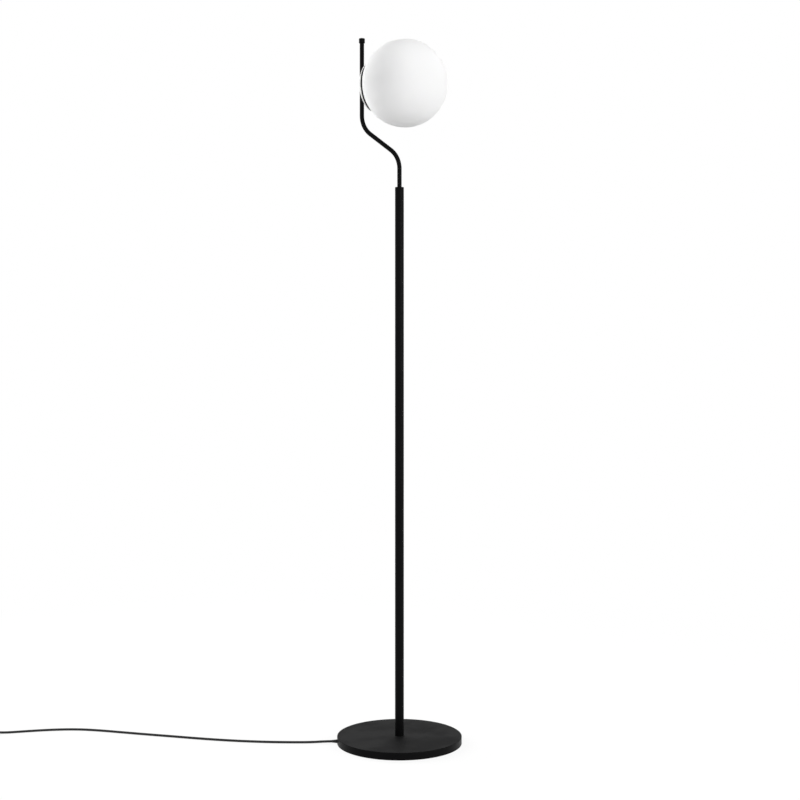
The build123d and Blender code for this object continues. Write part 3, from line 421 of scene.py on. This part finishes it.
# each lamp: turn from the camera's side and lift in degrees, watts, size, and whether coats mirror it
studioLamps = {"distance": 3.2, "aim": 1.45, "lamps": {
    "front": (-5, 5, 38, 1.6, False), "lowRight": (60, -12, 35, 1.6, False),
    "right": (50, 0, 22, 1.1, True), "left": (-60, 8, 14, 1.6, False),
    "backLeft": (-125, 8, 47, 1.6, False), "farLeft": (-150, 8, 40, 1.6, False),
    "lowLeft": (-110, -12, 28, 1.6, False), "backRight": (125, 8, 32, 1.6, False),
    "top": (0, 85, 43, 1.6, False)}}


def makeSurroundings(plan):
    world = bpy.data.worlds.new("studio")
    world.use_nodes = True
    bpy.context.scene.world = world
    sky = Nodes(world.node_tree)
    back = sky.tree.nodes["Background"]
    back.inputs["Color"].default_value = (1, 1, 1, 1)
    sky.feed(back.inputs["Strength"], plan["ambient"] + sky.seenRays() * (1 - plan["ambient"]))


def makeFloor(plan):
    look = Look("floorPaper")
    lit = look.add("ShaderNodeBsdfDiffuse", {}, {"Color": (1, 1, 1, 1)})
    white = look.add("ShaderNodeEmission", {}, {"Color": (1, 1, 1, 1), "Strength": 1.0})
    dull = look.add("ShaderNodeBsdfDiffuse", {}, {"Color": [plan["floorBounce"]] * 3 + [1]})
    far = look.add("ShaderNodeVectorMath", {"operation": "LENGTH"}, {0: look.place}, "Value")
    beyond = far.band(plan["shadeInner"], plan["shadeOuter"])
    shown = look.add("ShaderNodeMixShader", {}, {0: 1 - (1 - beyond) * plan["floorShade"], 1: lit, 2: white})
    both = look.add("ShaderNodeMixShader", {}, {0: look.seenRays(), 1: dull, 2: shown})
    look.feed(look.tree.nodes["Material Output"].inputs["Surface"], both)
    mesh = bpy.data.meshes.new("floor")
    half = plan["floorHalf"]
    mesh.from_pydata([(-half, -half, 0), (half, -half, 0), (half, half, 0), (-half, half, 0)], [],
                     [(0, 1, 2, 3)])
    mesh.materials.append(look.material)
    floor = bpy.data.objects.new("floor", mesh)
    bpy.context.scene.collection.objects.link(floor)


def makeLamp(name, plan, turnFromCamera, lift, power, size, mirrors):
    turn, lift = math.radians(camera["turn"] + turnFromCamera), math.radians(lift)
    data = bpy.data.lights.new(name, "AREA")
    data.energy = power
    data.size = size
    lamp = bpy.data.objects.new(name, data)
    aim = Vector((0, 0, plan["aim"]))
    lamp.location = aim + plan["distance"] * Vector((
        math.sin(turn) * math.cos(lift), -math.cos(turn) * math.cos(lift), math.sin(lift)))
    lamp.rotation_euler = (aim - lamp.location).to_track_quat("-Z", "Y").to_euler()
    lamp.visible_glossy = mirrors
    bpy.context.scene.collection.objects.link(lamp)


makeSurroundings(light)
makeFloor(light)
for name, lampPlan in studioLamps["lamps"].items():
    makeLamp(name + "Lamp", studioLamps, *lampPlan)
bpy.context.scene.view_settings.view_transform = "Standard"
print("light and floor made")

# finishes

# the third colour is painted light: a lighter tone for surfaces facing up, standing in for overhead light
blackCoat = {"colour": (0.0022, 0.0022, 0.0024), "dusty": (0.0034, 0.0034, 0.0036),
             "paintedTopLight": (0.0042, 0.0042, 0.0044), "roughness": 0.36, "upRougher": 0.22, "specular": 0.05,
             "patch": 14.0, "grain": 900.0, "depth": 0.00004}


def makeBlackCoat(plan):
    look = Look("matteBlackCoat", Specular_IOR_Level=plan["specular"])
    clouds = look.grain(plan["patch"], 3.0).band(0.35, 0.7)
    fine = look.grain(plan["grain"], 1.0)
    pits = look.cells(plan["grain"] * 0.7)
    coat = look.blend(clouds, plan["colour"], plan["dusty"])
    # painted light: surfaces that face up get a lighter colour, a painted sheen of overhead light, and a
    # rougher finish
    paintedTopLight = look.facing("Z").band(0.6, 0.95) * (0.8 + 0.2 * clouds)
    rough = plan["roughness"] + clouds * 0.06 + fine * 0.05 + paintedTopLight * plan["upRougher"]
    return look.wear(Base_Color=look.blend(paintedTopLight, coat, plan["paintedTopLight"]), Roughness=rough,
                     Normal=look.bump(fine + pits * 0.5, plan["depth"], 0.35))


whiteEnamel = {"colour": (0.80, 0.80, 0.79), "shade": (0.77, 0.77, 0.755), "roughness": 0.36,
               "specular": 0.35, "patch": 22.0, "grain": 420.0, "depth": 0.00005}


def makeWhiteEnamel(plan):
    look = Look("whiteEnamel", Specular_IOR_Level=plan["specular"])
    clouds = look.grain(plan["patch"], 3.0).band(0.4, 0.7)
    peel = look.grain(plan["grain"], 1.0)
    return look.wear(Base_Color=look.blend(clouds, plan["colour"], plan["shade"]),
                     Roughness=plan["roughness"] + clouds * 0.06,
                     Normal=look.bump(peel, plan["depth"], 0.25))


opalGlass = {"colour": (0.93, 0.93, 0.925), "shade": (0.915, 0.915, 0.905), "roughness": 0.5,
             "specular": 0.16, "scatter": 0.25, "reach": (0.010, 0.010, 0.009), "patch": 9.0,
             "grain": 1600.0, "depth": 0.00002}


def makeOpalGlass(plan):
    look = Look("etchedOpalGlass", Specular_IOR_Level=plan["specular"], IOR=1.5,
                Subsurface_Weight=plan["scatter"], Subsurface_Radius=plan["reach"], Subsurface_Scale=1.0)
    clouds = look.grain(plan["patch"], 2.0).band(0.35, 0.75)
    etch = look.grain(plan["grain"], 1.0)
    return look.wear(Base_Color=look.blend(clouds, plan["colour"], plan["shade"]),
                     Roughness=plan["roughness"] + etch * 0.06,
                     Normal=look.bump(etch, plan["depth"], 0.15))


plainFinishes = {
    "moulded": {"slot": "switch_plastic", "colour": (0.016, 0.016, 0.017), "second": (0.022, 0.022, 0.023),
                "rough": 0.52, "grain": 1100.0, "depth": 0.00005, "specular": 0.3},
    "phenolic": {"slot": "black_phenolic", "colour": (0.012, 0.012, 0.012), "second": (0.02, 0.019, 0.018),
                 "rough": 0.28, "grain": 500.0, "depth": 0.00002, "specular": 0.45},
    "button": {"slot": "button_plastic", "colour": (0.02, 0.02, 0.021), "second": (0.03, 0.03, 0.03),
               "rough": 0.34, "grain": 700.0, "depth": 0.00002, "specular": 0.4},
    "rubber": {"slot": "black_rubber", "colour": (0.014, 0.014, 0.014), "second": (0.024, 0.024, 0.024),
               "rough": 0.66, "grain": 800.0, "depth": 0.00005, "specular": 0.25},
    "foam": {"slot": "pad_foam", "colour": (0.02, 0.02, 0.021), "second": (0.05, 0.05, 0.05),
             "rough": 0.9, "grain": 1400.0, "depth": 0.0003, "specular": 0.1},
    "nylon": {"slot": "nylon_natural", "colour": (0.74, 0.73, 0.67), "second": (0.80, 0.79, 0.74),
              "rough": 0.5, "grain": 600.0, "depth": 0.00003, "specular": 0.4},
    "bush": {"slot": "bush_plastic", "colour": (0.78, 0.78, 0.76), "second": (0.84, 0.84, 0.82),
             "rough": 0.42, "grain": 600.0, "depth": 0.00003, "specular": 0.4},
    "flex": {"slot": "flex_sheath", "colour": (0.72, 0.72, 0.70), "second": (0.78, 0.78, 0.76),
             "rough": 0.45, "grain": 700.0, "depth": 0.00003, "specular": 0.4},
    "core": {"slot": "core_insulation", "colour": (0.17, 0.09, 0.05), "second": (0.21, 0.12, 0.07),
             "rough": 0.4, "grain": 700.0, "depth": 0.00002, "specular": 0.4},
    "silicone": {"slot": "seal_silicone", "colour": (0.70, 0.70, 0.68), "second": (0.76, 0.76, 0.74),
                 "rough": 0.55, "grain": 900.0, "depth": 0.00003, "specular": 0.3},
    "steatite": {"slot": "steatite", "colour": (0.80, 0.77, 0.71), "second": (0.86, 0.84, 0.79),
                 "rough": 0.62, "grain": 1500.0, "depth": 0.00006, "specular": 0.35},
    "bulbHousing": {"slot": "bulb_housing", "colour": (0.84, 0.84, 0.83), "second": (0.88, 0.88, 0.87),
                    "rough": 0.38, "grain": 600.0, "depth": 0.00003, "specular": 0.4},
    "insulator": {"slot": "bulb_insulator", "colour": (0.02, 0.02, 0.025), "second": (0.04, 0.04, 0.045),
                  "rough": 0.2, "grain": 500.0, "depth": 0.00002, "specular": 0.5},
    "contactBlock": {"slot": "contact_block", "colour": (0.27, 0.27, 0.26), "second": (0.33, 0.33, 0.32),
                     "rough": 0.5, "grain": 800.0, "depth": 0.00004, "specular": 0.35},
    "tie": {"slot": "tie_plastic", "colour": (0.02, 0.02, 0.02), "second": (0.035, 0.035, 0.035),
            "rough": 0.58, "grain": 1000.0, "depth": 0.00005, "specular": 0.3},
}


def makePlainFinish(name, plan):
    look = Look(name, Specular_IOR_Level=plan["specular"])
    clouds = look.grain(70.0, 3.0).band(0.35, 0.7)
    fine = look.grain(plan["grain"], 2.0)
    return look.wear(Base_Color=look.blend(clouds, plan["colour"], plan["second"]),
                     Roughness=plan["rough"] + clouds * 0.08 - fine * 0.04,
                     Normal=look.bump(fine, plan["depth"], 0.5))


bulbDome = {"colour": (0.88, 0.88, 0.86), "second": (0.84, 0.84, 0.82), "roughness": 0.42,
            "specular": 0.35, "scatter": 0.3, "reach": (0.004, 0.004, 0.0036), "patch": 30.0,
            "grain": 1500.0, "depth": 0.00002}


def makeBulbDome(plan):
    look = Look("bulbDiffuser", Specular_IOR_Level=plan["specular"], Subsurface_Weight=plan["scatter"],
                Subsurface_Radius=plan["reach"], Subsurface_Scale=1.0)
    clouds = look.grain(plan["patch"], 2.0).band(0.35, 0.7)
    frost = look.grain(plan["grain"], 1.0)
    return look.wear(Base_Color=look.blend(clouds, plan["colour"], plan["second"]),
                     Roughness=plan["roughness"] + frost * 0.08,
                     Normal=look.bump(frost, plan["depth"], 0.3))


metals = {
    "zinc": {"slot": "zinc_steel", "colour": (0.53, 0.53, 0.52), "second": (0.44, 0.45, 0.46),
             "rough": 0.34, "streak": (30.0, 30.0, 400.0)},
    "spring": {"slot": "spring_steel", "colour": (0.46, 0.46, 0.47), "second": (0.38, 0.39, 0.42),
               "rough": 0.28, "streak": (300.0, 40.0, 40.0)},
    "nickel": {"slot": "nickel_brass", "colour": (0.66, 0.61, 0.52), "second": (0.58, 0.53, 0.44),
               "rough": 0.24, "streak": (200.0, 60.0, 60.0)},
    "brass": {"slot": "terminal_brass", "colour": (0.68, 0.50, 0.24), "second": (0.55, 0.39, 0.18),
              "rough": 0.3, "streak": (60.0, 60.0, 300.0)},
    "bulbCap": {"slot": "bulb_cap", "colour": (0.70, 0.70, 0.71), "second": (0.62, 0.62, 0.63),
                "rough": 0.3, "streak": (300.0, 60.0, 60.0)},
}


def makeMetal(name, plan):
    look = Look(name, Metallic=1.0)
    clouds = look.grain(90.0, 4.0).band(0.35, 0.7)
    streaks = look.grain(6.0, 3.0, 0.6, look.stretched(plan["streak"]))
    return look.wear(Base_Color=look.blend(clouds, plan["colour"], plan["second"]),
                     Roughness=plan["rough"] + clouds * 0.1 + streaks * 0.1,
                     Normal=look.bump(streaks, 0.00003, 0.4))


castIron = {"colour": (0.075, 0.075, 0.08), "second": (0.12, 0.11, 0.10), "rough": 0.62,
            "patch": 60.0, "grain": 420.0, "depth": 0.0004}


def makeCastIron(plan):
    look = Look("castIron", Metallic=0.6, Specular_IOR_Level=0.4)
    clouds = look.grain(plan["patch"], 5.0, 0.6).band(0.35, 0.7)
    sand = look.grain(plan["grain"], 4.0, 0.65)
    return look.wear(Base_Color=look.blend(clouds, plan["colour"], plan["second"]),
                     Roughness=plan["rough"] + sand * 0.15, Normal=look.bump(sand, plan["depth"], 0.6))


cordSheath = {"colour": (0.012, 0.012, 0.0125), "second": (0.018, 0.018, 0.0185), "rough": 0.5,
              "specular": 0.25, "patch": 45.0, "grain": 1300.0, "depth": 0.00005}


def makeCordSheath(plan):
    look = Look("cordSheath", Specular_IOR_Level=plan["specular"])
    clouds = look.grain(plan["patch"], 3.0).band(0.35, 0.7)
    fine = look.grain(plan["grain"], 2.0)
    return look.wear(Base_Color=look.blend(clouds, plan["colour"], plan["second"]),
                     Roughness=plan["rough"] + clouds * 0.08, Normal=look.bump(fine, plan["depth"], 0.4))


finishes = {"black_powder_coat": makeBlackCoat(blackCoat), "white_enamel": makeWhiteEnamel(whiteEnamel),
            "opal_glass": makeOpalGlass(opalGlass), "bulb_dome": makeBulbDome(bulbDome),
            "cast_iron": makeCastIron(castIron), "black_cord": makeCordSheath(cordSheath)}
for name, plan in plainFinishes.items():
    finishes[plan["slot"]] = makePlainFinish(name, plan)
for name, plan in metals.items():
    finishes[plan["slot"]] = makeMetal(name, plan)
print("finishes made:", len(finishes))

for part in frame["record"]["subparts"]:
    body = nodes[part["node"]]
    body.data.materials.clear()
    body.data.materials.append(finishes[part["material_slot"]])
for piece, finish in dressed:
    piece.data.materials.append(finishes[finish])
print("finishes given to every node and piece")

bpy.context.view_layer.update()
